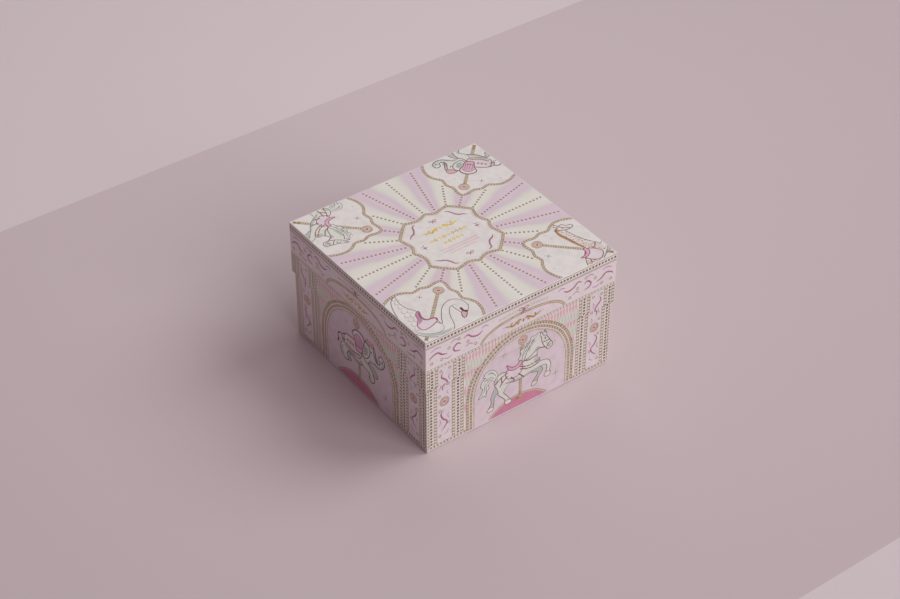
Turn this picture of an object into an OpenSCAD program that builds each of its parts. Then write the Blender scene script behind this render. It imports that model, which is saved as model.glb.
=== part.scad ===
// Square gift box of wrapped greyboard: a base tray under a telescoping lift-off lid.
// The origin is the middle of the underside, +Z is up, and all sizes are in millimetres.

/* [Closed box] */
// Outside width and depth of the wrapped lid
lid_w = 200; // [160:1:260]
// Height of the closed box, from the table to the top of the lid
box_h = 123.5; // [100:0.5:160]
// Depth of the lid, from its top face to the lower edge of its skirt
lid_h = 53; // [35:1:80]
// Radius of the wrapped upright edges
edge_r = 0.6; // [0.5:0.1:1]

/* [Board and papers] */
// Thickness of the greyboard of both trays
board_t = 1.2; // [1:0.1:2]
// Thickness of the printed paper that wraps both trays
wrap_t = 0.12; // [0.1:0.01:0.2]
// Thickness of the white paper that lines both trays
lining_t = 0.08; // [0.06:0.01:0.12]
// Thickness of the gummed tape that holds each corner of the boards
stay_t = 0.08; // [0.06:0.01:0.12]
// Thickness of the sheet glued on the underside of the base
sheet_t = 0.12; // [0.1:0.01:0.2]

/* [Folds and tapes] */
// How far the wrap is turned in over each rim
turn_in = 18; // [10:1:25]
// How far the base's wrap is turned under its bottom
turn_under = 15; // [8:1:25]
// Length of each leg of a corner tape, along the wall
stay_leg = 12; // [8:1:16]
// Distance from the base's edge to the sheet on its underside
sheet_margin = 3; // [2:0.5:6]

/* [Fit] */
// Gap between the lid's inside and the base's outside, on each side
fit_gap = 0.3; // [0.3:0.05:0.8]
// Gap left between the base's rim and the lid's lining
seat_gap = 0.1; // [0.1:0.05:0.3]

/* [Hidden] */
$fn = 48;
OVER = 1;                                // how far a cutting shape runs past a face
WALL_T = wrap_t + board_t + lining_t + wrap_t;

// The lid, from outside to inside
skirt_z = box_h - lid_h;                 // lower edge of the skirt
lid_board_w = lid_w - 2 * wrap_t;
lid_in_w = lid_board_w - 2 * board_t;    // inside of the bare board
lid_board_top = box_h - wrap_t;
lid_board_under = lid_board_top - board_t;
lid_lining_under = lid_board_under - lining_t;

// The base, from outside to inside
base_w = lid_w - 2 * (WALL_T + fit_gap);
base_h = lid_lining_under - seat_gap;    // top of the wrapped rim
base_board_w = base_w - 2 * wrap_t;
base_in_w = base_board_w - 2 * board_t;
base_board_z = sheet_t + wrap_t;         // underside of the bare board
base_floor_z = base_board_z + board_t;   // upper face of the bare board

GREY = [0.55, 0.53, 0.50];
WHITE = [0.95, 0.94, 0.92];
KRAFT = [0.72, 0.56, 0.38];
LID_PRINT = [0.92, 0.84, 0.84];
BASE_PRINT = [0.88, 0.78, 0.82];

// Square plan with true arcs at its corners; a radius of 0 leaves them sharp.
module plan(w, r) {
    if (r > 0) {
        square([w, w - 2 * r], center = true);
        square([w - 2 * r, w], center = true);
        for (x = [-1, 1], y = [-1, 1])
            translate([x, y] * (w / 2 - r)) circle(r = r);
    } else {
        square(w, center = true);
    }
}

// Flat square plate between two heights.
module plate(w, r, z0, z1) {
    translate([0, 0, z0]) linear_extrude(z1 - z0) plan(w, r);
}

// Square band of wall between two heights.
module band(w_out, r_out, w_in, r_in, z0, z1) {
    translate([0, 0, z0]) linear_extrude(z1 - z0)
        difference() {
            plan(w_out, r_out);
            plan(w_in, r_in);
        }
}

// Corner tape number 1 to 4, pressed into the outside of a board.
module corner_stay(number, board_w, z0, z1) {
    corner = board_w / 2 - stay_leg;
    rotate([0, 0, 90 * (number - 1)])
        intersection() {
            band(board_w, edge_r - wrap_t, board_w - 2 * stay_t, edge_r - wrap_t - stay_t, z0, z1);
            translate([corner, corner, z0 - OVER])
                cube([stay_leg + OVER, stay_leg + OVER, z1 - z0 + 2 * OVER]);
        }
}

// Space that the four corner tapes of a board take up.
module stay_recesses(board_w, z0, z1) {
    for (number = [1:4]) corner_stay(number, board_w, z0, z1);
}

module lid_stay(number) {
    color(KRAFT) corner_stay(number, lid_board_w, skirt_z + wrap_t, lid_board_top);
}

module base_stay(number) {
    color(KRAFT) corner_stay(number, base_board_w, base_board_z, base_h - wrap_t);
}

// One blank of board with its corners cut out and four skirts folded down.
module lid_board() {
    color(GREY)
        difference() {
            plate(lid_board_w, edge_r - wrap_t, skirt_z + wrap_t, lid_board_top);
            plate(lid_in_w, 0, skirt_z - OVER, lid_board_under);
            stay_recesses(lid_board_w, skirt_z + wrap_t, lid_board_top);
        }
}

// White paper on the whole inside of the lid's board.
module lid_lining() {
    color(WHITE)
        difference() {
            plate(lid_in_w, 0, skirt_z + wrap_t, lid_board_under);
            plate(lid_in_w - 2 * lining_t, 0, skirt_z - OVER, lid_lining_under);
        }
}

// Printed paper over the top and skirts, folded round the skirts' lower edge and turned in.
module lid_wrap() {
    turned_w = lid_in_w - 2 * lining_t;
    color(LID_PRINT) {
        plate(lid_w, edge_r, lid_board_top, box_h);
        band(lid_w, edge_r, lid_board_w, edge_r - wrap_t, skirt_z, lid_board_top);
        band(lid_w, edge_r, turned_w - 2 * wrap_t, 0, skirt_z, skirt_z + wrap_t);
        band(turned_w, 0, turned_w - 2 * wrap_t, 0, skirt_z, skirt_z + turn_in);
    }
}

// One blank of board with its corners cut out and four walls folded up.
module base_board() {
    color(GREY)
        difference() {
            plate(base_board_w, edge_r - wrap_t, base_board_z, base_h - wrap_t);
            plate(base_in_w, 0, base_floor_z, base_h + OVER);
            stay_recesses(base_board_w, base_board_z, base_h - wrap_t);
        }
}

// White paper on the whole inside of the base's board.
module base_lining() {
    color(WHITE)
        difference() {
            plate(base_in_w, 0, base_floor_z, base_h - wrap_t);
            plate(base_in_w - 2 * lining_t, 0, base_floor_z + lining_t, base_h + OVER);
        }
}

// Printed paper round the walls, turned in over the rim and turned under the bottom edge.
module base_wrap() {
    turned_w = base_in_w - 2 * lining_t;
    color(BASE_PRINT) {
        band(base_w, edge_r, base_board_w, edge_r - wrap_t, sheet_t, base_h);
        band(base_w, edge_r, turned_w - 2 * wrap_t, 0, base_h - wrap_t, base_h);
        band(turned_w, 0, turned_w - 2 * wrap_t, 0, base_h - turn_in, base_h);
        band(base_w, edge_r, base_w - 2 * turn_under, 0, sheet_t, sheet_t + wrap_t);
    }
}

// Sheet over the underside; its middle fills the step inside the turned-under wrap.
module base_bottom_sheet() {
    color(WHITE) {
        plate(base_w - 2 * sheet_margin, 0, 0, sheet_t);
        plate(base_w - 2 * turn_under, 0, 0, sheet_t + wrap_t);
    }
}

lid_board();
lid_lining();
lid_wrap();
lid_stay(1);  // lid_corner_stay_1
lid_stay(2);  // lid_corner_stay_2
lid_stay(3);  // lid_corner_stay_3
lid_stay(4);  // lid_corner_stay_4
base_board();
base_lining();
base_wrap();
base_bottom_sheet();
base_stay(1);  // base_corner_stay_1
base_stay(2);  // base_corner_stay_2
base_stay(3);  // base_corner_stay_3
base_stay(4);  // base_corner_stay_4
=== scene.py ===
"""A square rigid gift box with a deep lift-off lid, printed all over with a merry-go-round pattern.

The box comes from the frame. This script folds its printed papers, draws the pattern on them as thin
layers of ink and raised foil, and gives every piece its material. The drawing is done in millimetres
on each flat side, across and up, and becomes metres when a mesh is made.
"""
import math
import random

import bpy
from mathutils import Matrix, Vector, geometry


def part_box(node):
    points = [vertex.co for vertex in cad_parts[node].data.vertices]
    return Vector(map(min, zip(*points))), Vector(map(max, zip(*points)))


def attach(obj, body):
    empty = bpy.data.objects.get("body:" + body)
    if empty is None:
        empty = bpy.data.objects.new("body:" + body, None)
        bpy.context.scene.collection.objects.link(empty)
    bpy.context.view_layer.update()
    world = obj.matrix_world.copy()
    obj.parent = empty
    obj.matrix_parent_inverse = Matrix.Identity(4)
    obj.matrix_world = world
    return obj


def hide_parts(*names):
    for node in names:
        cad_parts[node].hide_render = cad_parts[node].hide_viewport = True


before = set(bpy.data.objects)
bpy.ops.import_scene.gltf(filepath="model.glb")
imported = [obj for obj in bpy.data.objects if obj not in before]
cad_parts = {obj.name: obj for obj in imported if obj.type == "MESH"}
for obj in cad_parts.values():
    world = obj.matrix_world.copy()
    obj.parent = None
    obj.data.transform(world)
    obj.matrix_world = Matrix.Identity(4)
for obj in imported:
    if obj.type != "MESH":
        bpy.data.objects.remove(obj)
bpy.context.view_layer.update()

# ---------------------------------------------------------------------------------------------
# Sizes of the box, in millimetres, from the frame
# ---------------------------------------------------------------------------------------------
MM = 0.001


def span(node):
    """Lowest and highest corner of a CAD node, in millimetres."""
    low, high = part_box(node)
    return low / MM, high / MM


LID_LOW, LID_HIGH = span("lid_wrap")
BASE_LOW, BASE_HIGH = span("base_wrap")
LID_HALF, TOP, SKIRT = LID_HIGH.x, LID_HIGH.z, LID_LOW.z
BASE_HALF, RIM, FOOT = BASE_HIGH.x, BASE_HIGH.z, BASE_LOW.z
PAPER = LID_HALF - span("lid_board")[1].x
LINING = 0.08                  # thickness of the white paper inside
LID_WALL = LID_HALF - span("lid_lining")[1].x + LINING + PAPER
BASE_WALL = BASE_HALF - span("base_lining")[1].x + LINING + PAPER
TURN_IN = 18.0                 # how far the wraps are turned in over the rims
TURN_UNDER = 15.0              # how far the base's wrap is turned under its bottom
FOLD_R = 0.4                   # radius of paper folded over a board's edge
FOLD_STEPS = 4                 # facets round such a fold
EDGE_R = 0.6                   # radius of the wrapped upright edges
EDGE_STEPS = 5                 # facets round such an edge
SHARP = 0.05                   # least radius inside one

# ---------------------------------------------------------------------------------------------
# Layout of the print, in millimetres: on a side, across from its middle and up from the table
# ---------------------------------------------------------------------------------------------
PRINT_HALF = 99.4              # half width of the pattern, before a side's own limits cut it
LID_PRINT = 99.3               # those limits, from the side's middle
BASE_PRINT = 97.5
TOP_PRINT = 99.2
BEAD_BAND = (116.9, 122.6)     # strip of foil beads under the lid's top edge
BEAD_LINE = 119.6              # height of its beads
RIBBON_TOP = 115.8             # upper line of the pink band with ribbons
RAIL = (90.3, 93.4)            # ladder under the ribbons
FLOOR_LINE = (2.6, 5.6)        # ladder under the columns
GREY_LINE = (0.9, 1.3)         # thin line near the table
LADDER_W = 2.2                 # width of both ladders
ARCH_MID = 34.0                # height of the centre of the big arch
ARCH_R = 57.6                  # its outer radius
ARCH_BACK = 59.8               # half width of the cream behind it
ARCH_FIELD = 48.8              # radius of the lilac field in it
POLE_HALF = 1.3                # half of a pole's thickness
BEAD_R = 0.42                  # radius of a foil bead
# the disc under each bead is painted dark reflection, not a real part of the foil
BEAD_DARK_REFLECTION_R = 2.6 * BEAD_R       # radius of the dark disc it stands on
BEAD_H = 0.34                  # how far it stands proud of the paper
BEAD_PITCH = 3.4               # from one bead, or one rung of a trim, to the next
TRIM_W = 2.7                   # width of a ladder-like trim
COLUMN_BEADS = (93.7, 66.0)    # bead strips of a corner column, from the side's middle
COLUMN_TRIMS = (97.4, 89.3, 70.6, 61.8)
COLUMN_PANEL = (72.3, 87.7)
STRIP_HALF, TRIM_HALF = 2.2, 1.6    # half widths of the cream behind a strip and a trim
MEDALLION_Z = 77.0             # height of the medallion on top of a pole
MOUND = (31.0, 13.0)           # half width and height of the mound
RAYS = 12                      # soft rays on the lid's top
RAY_PITCH = 3.8                # from one dot of a ray to the next

# Heights of the ink, in millimetres
INK_BASE = 0.015               # height of the lowest ink over the paper
INK_STEP = 0.010               # from one layer of ink to the next
INK_APART = 0.0006             # keeps shapes of one layer from lying in one plane
INK_TURNS = 16                 # heights that shapes of one layer take in turn
INK_ROOT = 0.02                # how deep ink reaches into the paper
DOME_SIDES = 12                # corners round a bead

# ---------------------------------------------------------------------------------------------
# Colours, as sRGB
# ---------------------------------------------------------------------------------------------
INKS = {
    "cream": (0.925, 0.905, 0.885),
    "blush": (0.920, 0.885, 0.900),
    "lilac": (0.902, 0.850, 0.876),
    "pearl": (0.940, 0.930, 0.915),
    "mint": (0.815, 0.865, 0.790),
    "rose": (0.900, 0.730, 0.755),
    "mound": (0.835, 0.555, 0.660),
    "gilt": (0.670, 0.570, 0.400),
    "gilt_light": (0.890, 0.845, 0.735),
    "ribbon": (0.680, 0.380, 0.500),
    "ribbon_light": (0.790, 0.600, 0.740),
    "coat": (0.905, 0.920, 0.885),
    "shade": (0.775, 0.795, 0.770),
    "outline": (0.360, 0.230, 0.220),
    "grey": (0.480, 0.450, 0.460),
    "tack": (0.890, 0.745, 0.815),
    "tack_dark": (0.560, 0.270, 0.320),
    "rose_light": (0.925, 0.760, 0.785),
    # painted reflection: the dark disc under each foil bead stands in for the dark surroundings the foil
    # mirrors
    "bronze": (0.150, 0.100, 0.065),
    "blush_light": (0.930, 0.885, 0.900),
    "rose_gold": (0.620, 0.450, 0.390),
    "tan": (0.770, 0.580, 0.400),
}


def linear(srgb):
    """An sRGB colour as linear values with alpha."""
    return tuple(c / 12.92 if c <= 0.04045 else ((c + 0.055) / 1.055) ** 2.4 for c in srgb) + (1.0,)


def darker(srgb, by):
    """An sRGB colour with a share of it taken off."""
    return tuple(max(0.0, c * (1.0 - by)) for c in srgb)


# ---------------------------------------------------------------------------------------------
# Materials
# ---------------------------------------------------------------------------------------------
class Nodes:
    """Short calls for building a material's nodes."""

    def __init__(self, name):
        self.material = bpy.data.materials.new(name)
        self.material.use_nodes = True
        self.tree = self.material.node_tree
        self.shader = self.tree.nodes["Principled BSDF"]
        self.place = self.tree.nodes.new("ShaderNodeTexCoord").outputs["Object"]

    def node(self, kind, **values):
        made = self.tree.nodes.new(kind)
        for key, value in values.items():
            setattr(made, key, value)
        return made

    def link(self, source, target):
        self.tree.links.new(source, target)

    def noise(self, scale, detail=3.0, rough=0.55):
        made = self.node("ShaderNodeTexNoise")
        made.inputs["Scale"].default_value = scale
        made.inputs["Detail"].default_value = detail
        made.inputs["Roughness"].default_value = rough
        self.link(self.place, made.inputs["Vector"])
        return made.outputs["Fac"]

    def ramp(self, source, stops):
        """Colours or greys placed along a value; each stop is (position, linear colour)."""
        made = self.node("ShaderNodeValToRGB")
        made.color_ramp.interpolation = "B_SPLINE"
        while len(made.color_ramp.elements) < len(stops):
            made.color_ramp.elements.new(0.5)
        for element, (position, colour) in zip(made.color_ramp.elements, stops):
            element.position = position
            element.color = colour
        self.link(source, made.inputs["Fac"])
        return made.outputs["Color"]

    def spread(self, source, *limits):
        """A value's range, the first two limits, spread over the range of the other two."""
        made = self.node("ShaderNodeMapRange")
        for name, value in zip(("From Min", "From Max", "To Min", "To Max"), limits):
            made.inputs[name].default_value = value
        self.link(source, made.inputs["Value"])
        return made.outputs["Result"]

    def maths(self, operation, a, b=None):
        made = self.node("ShaderNodeMath", operation=operation)
        for socket, value in zip(made.inputs, (a, b)):
            if isinstance(value, (int, float)):
                socket.default_value = value
            elif value is not None:
                self.link(value, socket)
        return made.outputs[0]

    def mix(self, share, a, b):
        """Colour a where share is 0, b where it is 1; a and b are colours or sockets."""
        made = self.node("ShaderNodeMix", data_type="RGBA")
        if isinstance(share, float):
            made.inputs["Factor"].default_value = share
        else:
            self.link(share, made.inputs["Factor"])
        for index, value in ((6, a), (7, b)):
            if isinstance(value, tuple):
                made.inputs[index].default_value = value
            else:
                self.link(value, made.inputs[index])
        return made.outputs[2]

    def bump(self, height, distance, strength):
        made = self.node("ShaderNodeBump")
        made.inputs["Strength"].default_value = strength
        made.inputs["Distance"].default_value = distance
        self.link(height, made.inputs["Height"])
        self.link(made.outputs["Normal"], self.shader.inputs["Normal"])


def film(shader):
    """The matt laminating film over the printed paper."""
    shader.inputs["Coat Weight"].default_value = 0.12
    shader.inputs["Coat Roughness"].default_value = 0.45
    shader.inputs["Specular IOR Level"].default_value = 0.35


def ink_material(name, colour):
    """Printed ink: its pigment is a little uneven, and the paper's tooth shows through."""
    n = Nodes(name)
    cloud = n.noise(140.0, 4.0)
    fine = n.noise(2600.0, 2.0)
    paler = tuple(min(1.0, c * 1.014) for c in colour)
    tone = n.ramp(cloud, [(0.34, linear(darker(colour, 0.04))), (0.5, linear(colour)), (0.68, linear(paler))])
    n.link(tone, n.shader.inputs["Base Color"])
    n.link(n.spread(cloud, 0.3, 0.7, 0.46, 0.60), n.shader.inputs["Roughness"])
    n.bump(fine, 0.00002, 0.25)
    film(n.shader)
    return n.material


def gilt_material(name, colour, metallic):
    """Printed bronze ink, slightly metallic and a little uneven."""
    n = Nodes(name)
    cloud = n.noise(260.0, 4.0)
    fine = n.noise(3000.0, 2.0)
    tone = n.ramp(cloud, [(0.3, linear(darker(colour, 0.22))), (0.55, linear(colour))])
    n.link(tone, n.shader.inputs["Base Color"])
    n.shader.inputs["Metallic"].default_value = metallic
    n.link(n.spread(cloud, 0.3, 0.7, 0.40, 0.52), n.shader.inputs["Roughness"])
    n.bump(fine, 0.00002, 0.3)
    return n.material


def foil_material():
    """Hot-stamped gold foil, with the slight ripple it takes from the board."""
    n = Nodes("gold_foil")
    ripple = n.noise(320.0, 3.0)
    grain = n.noise(2400.0, 2.0)
    gold = n.ramp(ripple, [(0.3, linear((0.66, 0.55, 0.25))), (0.6, linear((0.89, 0.80, 0.44)))])
    n.link(gold, n.shader.inputs["Base Color"])
    n.shader.inputs["Metallic"].default_value = 1.0
    n.link(n.spread(grain, 0.3, 0.7, 0.20, 0.32), n.shader.inputs["Roughness"])
    n.bump(ripple, 0.0004, 0.35)
    return n.material


def side_paper(n):
    """Soft pink wash of the sides, mottled like watercolour."""
    wash = n.noise(26.0, 3.0)
    pale, deep = linear((0.936, 0.912, 0.915)), linear((0.918, 0.878, 0.893))
    return n.mix(n.spread(wash, 0.35, 0.65, 0.15, 0.85), pale, deep)


def paper_finish(n, colour):
    """Roughness, fibre bump and film of the wrap, and the paler wear along its folded edges."""
    fine = n.noise(1800.0, 3.0)
    soft = n.noise(34.0, 3.0)
    n.link(colour, n.shader.inputs["Base Color"])
    n.link(n.spread(soft, 0.3, 0.7, 0.44, 0.56), n.shader.inputs["Roughness"])
    n.bump(fine, 0.00003, 0.3)
    film(n.shader)
    return n.material


def edge_share(n, half, edges):
    """How worn the paper is: up to 0.55 on a box's edges, 0 on its flat sides. Also the place's X, Y and Z.

    The upright edges stand half a width from the middle, and the level ones lie at the heights in edges.
    """
    parts = n.node("ShaderNodeSeparateXYZ")
    n.link(n.place, parts.inputs[0])
    across = [n.maths("ABSOLUTE", parts.outputs[axis]) for axis in ("X", "Y")]
    near = [n.spread(value, (half - 1.1) * MM, (half - 0.25) * MM, 0.0, 1.0) for value in across]
    share = n.maths("MULTIPLY", near[0], near[1])
    for height in edges:
        gap = n.maths("ABSOLUTE", n.maths("SUBTRACT", parts.outputs["Z"], height * MM))
        close = n.spread(gap, 0.2 * MM, 1.0 * MM, 1.0, 0.0)
        rim = n.maths("MULTIPLY", close, n.maths("MAXIMUM", near[0], near[1]))
        share = n.maths("MAXIMUM", share, rim)
    rubbed = n.spread(n.noise(420.0, 3.0), 0.42, 0.62, 0.0, 1.0)
    return n.maths("MULTIPLY", share, n.maths("MULTIPLY", rubbed, 0.55)), parts


WORN = linear((0.94, 0.92, 0.90))


def lid_paper_material():
    """The lid's wrap: soft rays of cream and pink on the top, a pink wash on the skirts."""
    n = Nodes("lid_paper")
    worn, parts = edge_share(n, LID_HALF, (TOP, SKIRT))
    angle = n.maths("ARCTAN2", parts.outputs["Y"], parts.outputs["X"])
    drift = n.maths("MULTIPLY", n.maths("SUBTRACT", n.noise(38.0, 3.0), 0.5), 1.1)
    wave = n.maths("COSINE", n.maths("MULTIPLY", angle, float(RAYS)))
    along = n.spread(n.maths("ADD", wave, drift), -1.15, 1.15, 0.0, 1.0)
    rays = n.ramp(along, [
        (0.02, linear((0.915, 0.850, 0.880))),
        (0.26, linear((0.880, 0.805, 0.865))),
        (0.44, linear((0.900, 0.865, 0.865))),
        (0.58, linear((0.905, 0.912, 0.860))),
        (0.95, linear((0.945, 0.940, 0.915))),
    ])
    top = n.spread(parts.outputs["Z"], (TOP - 0.3) * MM, (TOP - 0.05) * MM, 0.0, 1.0)
    printed = n.mix(top, side_paper(n), rays)
    return paper_finish(n, n.mix(worn, printed, WORN))


def base_paper_material():
    """The base's wrap: the same pink wash all round."""
    n = Nodes("base_paper")
    worn, _ = edge_share(n, BASE_HALF, (RIM,))
    return paper_finish(n, n.mix(worn, side_paper(n), WORN))


def board_material():
    """Grey recycled board, with flecks of old print and fibre."""
    n = Nodes("greyboard")
    fleck = n.noise(900.0, 4.0, 0.7)
    cloud = n.noise(60.0, 3.0)
    base = n.ramp(cloud, [(0.3, linear((0.50, 0.48, 0.45))), (0.7, linear((0.62, 0.60, 0.56)))])
    flecks = n.ramp(fleck, [(0.36, linear((0.36, 0.35, 0.34))), (0.5, linear((0.70, 0.67, 0.62)))])
    n.link(n.mix(0.35, base, flecks), n.shader.inputs["Base Color"])
    n.link(n.spread(cloud, 0.3, 0.7, 0.80, 0.95), n.shader.inputs["Roughness"])
    n.bump(fleck, 0.0001, 0.5)
    return n.material


def plain_paper_material(name, colour, fibre):
    """Uncoated paper with a faint fibre."""
    n = Nodes(name)
    cloud = n.noise(45.0, 3.0)
    fine = n.noise(fibre, 4.0, 0.65)
    tone = n.ramp(cloud, [(0.3, linear(darker(colour, 0.05))), (0.7, linear(colour))])
    n.link(tone, n.shader.inputs["Base Color"])
    n.link(n.spread(cloud, 0.3, 0.7, 0.72, 0.86), n.shader.inputs["Roughness"])
    n.bump(fine, 0.00006, 0.35)
    return n.material


# ---------------------------------------------------------------------------------------------
# Folded papers
# ---------------------------------------------------------------------------------------------
def bend(inset, height, radius, start, sweep=90.0):
    """A quarter turn of a fold about (inset, height); angles in degrees, 0 inwards and 90 upwards."""
    turns = (math.radians(start + sweep * i / FOLD_STEPS) for i in range(FOLD_STEPS + 1))
    return [(inset + radius * math.cos(a), height + radius * math.sin(a)) for a in turns]


def square_ring(half, radius, height):
    """Points round a square with rounded corners."""
    points = []
    for turn in range(4):
        for i in range(EDGE_STEPS + 1):
            angle = math.radians(90.0 * turn + 90.0 * i / EDGE_STEPS)
            x = (half - radius) * (1 if turn in (0, 3) else -1) + radius * math.cos(angle)
            y = (half - radius) * (1 if turn in (0, 1) else -1) + radius * math.sin(angle)
            points.append((x, y, height))
    return points


def swept_square(name, profile, half, looped):
    """A paper folded round a square box: each point of the profile is (inset from the outside, height)."""
    rings = [square_ring(half - inset, max(EDGE_R - inset, SHARP), height) for inset, height in profile]
    count = len(rings[0])
    verts = [Vector(p) * MM for ring in rings for p in ring]
    faces = []
    for r in range(len(rings) if looped else len(rings) - 1):
        here, there = r * count, (r + 1) % len(rings) * count
        for i in range(count):
            after = (i + 1) % count
            faces.append((here + after, here + i, there + i, there + after))
    if not looped:
        faces.append(tuple(range(count)))
        faces.append(tuple(reversed(range((len(rings) - 1) * count, len(rings) * count))))
    return mesh_object(name, verts, faces, smooth=True)


def mesh_object(name, verts, faces, smooth=False):
    """A new mesh object in the scene; smooth ones keep their flat sides flat."""
    mesh = bpy.data.meshes.new(name)
    mesh.from_pydata(verts, [], faces)
    mesh.validate()
    mesh.update()
    made = bpy.data.objects.new(name, mesh)
    bpy.context.scene.collection.objects.link(made)
    if smooth:
        mesh.polygons.foreach_set("use_smooth", [True] * len(mesh.polygons))
        made.modifiers.new("flat_sides", "WEIGHTED_NORMAL").weight = 100
    return made


def lid_wrap():
    """The lid's paper: over the top, down the skirts, and round their lower edge to the turn-in."""
    outer, inner = FOLD_R, FOLD_R - PAPER
    near, far = FOLD_R, LID_WALL - FOLD_R
    top, low, end = TOP - FOLD_R, SKIRT + FOLD_R, SKIRT + TURN_IN
    profile = (bend(near, top, outer, 90) + bend(near, low, outer, 180) + bend(far, low, outer, 270)
               + [(LID_WALL, end), (LID_WALL - PAPER, end)]
               + bend(far, low, inner, 360, -90) + bend(near, low, inner, 270, -90)
               + bend(near, top, inner, 180, -90))
    return swept_square("lid_printed_wrap", profile, LID_HALF, looped=False)


def base_wrap():
    """The base's paper: from under its bottom, up the walls, and over the rim to the turn-in."""
    outer, inner = FOLD_R, FOLD_R - PAPER
    near, far = FOLD_R, BASE_WALL - FOLD_R
    top, low, end = RIM - FOLD_R, FOOT + FOLD_R, RIM - TURN_IN
    profile = (bend(near, top, outer, 90) + bend(near, low, outer, 180)
               + [(TURN_UNDER, FOOT), (TURN_UNDER, FOOT + PAPER)]
               + bend(near, low, inner, 270, -90) + bend(near, top, inner, 180, -90)
               + bend(far, top, inner, 90, -90)
               + [(BASE_WALL - PAPER, end), (BASE_WALL, end)] + bend(far, top, outer, 0))
    return swept_square("base_printed_wrap", profile, BASE_HALF, looped=True)


# ---------------------------------------------------------------------------------------------
# Drawing: flat sides, and a pen that prints on them
# ---------------------------------------------------------------------------------------------
class Layer:
    """Everything one ink prints on one body."""

    def __init__(self):
        self.verts, self.faces, self.smooth = [], [], []

    def add(self, verts, faces, smooth=False):
        start = len(self.verts)
        self.verts += verts
        self.faces += [tuple(start + i for i in face) for face in faces]
        # Only a bead's flat bottom has more than four corners, and it stays flat
        self.smooth += [smooth and len(face) < 5 for face in faces]


layers = {}                    # (body, ink): Layer


def layer_of(body, ink):
    """What that ink prints on that body, made when it is first asked for."""
    return layers.setdefault((body, ink), Layer())


def clipped(cell, edges):
    """The part of a convex cell inside all the edges; each edge is (a, b, c) for a*u + b*v <= c."""
    for a, b, c in edges:
        kept = []
        for i, p in enumerate(cell):
            q = cell[(i + 1) % len(cell)]
            here, there = a * p.real + b * p.imag - c, a * q.real + b * q.imag - c
            if here <= 0:
                kept.append(p)
            if here * there < 0:
                kept.append(p + (q - p) * here / (here - there))
        cell = kept
        if len(cell) < 3:
            return []
    return cell


class Sheet:
    """One flat printed side of a body, with the limits of its print."""

    calls = 0

    def __init__(self, body, middle, across, up, limits):
        self.body, self.middle, self.across, self.up = body, Vector(middle), Vector(across), Vector(up)
        self.out = self.across.cross(self.up)
        left, right, bottom, top = limits
        self.edges = [(1, 0, right), (-1, 0, -left), (0, 1, top), (0, -1, -bottom)]

    def point(self, p, out):
        """A place on the side, and a distance out from it, as a point in metres."""
        return (self.middle + self.across * p.real + self.up * p.imag + self.out * out) * MM

    def holds(self, p, margin):
        """Whether a place lies at least a margin inside the limits."""
        return all(a * p.real + b * p.imag <= c - margin for a, b, c in self.edges)

    def print_cells(self, ink, cells, level):
        """Join neighbouring cells into one closed film of ink, standing a little proud of the paper."""
        index, rims, tops = {}, {}, []
        for cell in cells:
            ids = []
            for p in clipped(cell, self.edges):
                number = index.setdefault((round(p.real, 4), round(p.imag, 4)), len(index))
                if number not in ids:
                    ids.append(number)
            if len(ids) < 3:
                continue
            tops.append(ids)
            for i, a in enumerate(ids):
                b = ids[(i + 1) % len(ids)]
                if (b, a) in rims:
                    del rims[(b, a)]
                else:
                    rims[(a, b)] = True
        Sheet.calls += 1
        height = INK_BASE + INK_STEP * level + INK_APART * (Sheet.calls % INK_TURNS)
        verts = [self.point(complex(*key), out) for key in index for out in (height, -INK_ROOT)]
        faces = [[2 * i for i in ids] for ids in tops] + [[2 * i + 1 for i in reversed(ids)] for ids in tops]
        faces += [[2 * a + 1, 2 * b + 1, 2 * b, 2 * a] for a, b in rims]
        if tops:
            layer_of(self.body, ink).add(verts, faces)

    def print_dome(self, ink, centre, radius, height):
        """A raised bead of foil."""
        if not self.holds(centre, radius):
            return
        n = DOME_SIDES
        rings = ((1.0, -INK_ROOT), (0.93, 0.5 * height), (0.6, 0.88 * height))
        spokes = [complex(math.cos(a), math.sin(a)) for a in (math.tau * i / n for i in range(n))]
        verts = [self.point(centre + spoke * radius * share, out) for share, out in rings for spoke in spokes]
        verts.append(self.point(centre, height))
        faces = []
        for i in range(n):
            after = (i + 1) % n
            faces += [(i, after, n + after, n + i), (n + i, n + after, 2 * n + after, 2 * n + i),
                      (2 * n + i, 2 * n + after, 3 * n)]
        faces.append(tuple(reversed(range(n))))
        layer_of(self.body, ink).add(verts, faces, smooth=True)


def complexes(points):
    """Places as complex numbers: across is real, up is imaginary."""
    return [p if isinstance(p, complex) else complex(*p) for p in points]


def curve(points, closed=False, steps=5):
    """A smooth curve through given points; a point given twice is a corner."""
    p = complexes(points)
    n = len(p)
    path = []
    for i in range(n if closed else n - 1):
        a, b, c, d = (p[(i + k) % n] if closed else p[min(max(i + k, 0), n - 1)] for k in (-1, 0, 1, 2))
        if b == c:
            continue
        for s in range(steps):
            t = s / steps
            path.append(0.5 * (2 * b + (c - a) * t + (2 * a - 5 * b + 4 * c - d) * t ** 2
                               + (3 * b - a - 3 * c + d) * t ** 3))
    return path if closed else path + [p[-1]]


def arc(centre, radius, start, end, steps=16):
    """Points on an arc; angles in degrees."""
    turns = (math.radians(start + (end - start) * i / steps) for i in range(steps + 1))
    return [complex(*centre) + radius * complex(math.cos(a), math.sin(a)) for a in turns]


def directions(path, closed):
    """The way the path runs at each of its points."""
    n = len(path)
    ways = []
    for i in range(n):
        before = path[i - 1] if i or closed else path[0]
        after = path[(i + 1) % n] if i < n - 1 or closed else path[-1]
        way = after - before
        ways.append(way / abs(way) if abs(way) > 1e-6 else 1 + 0j)
    return ways


def beside(path, distance, closed=False):
    """The path moved sideways, to its left for a positive distance."""
    return [p + way * 1j * distance for p, way in zip(path, directions(path, closed))]


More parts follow.
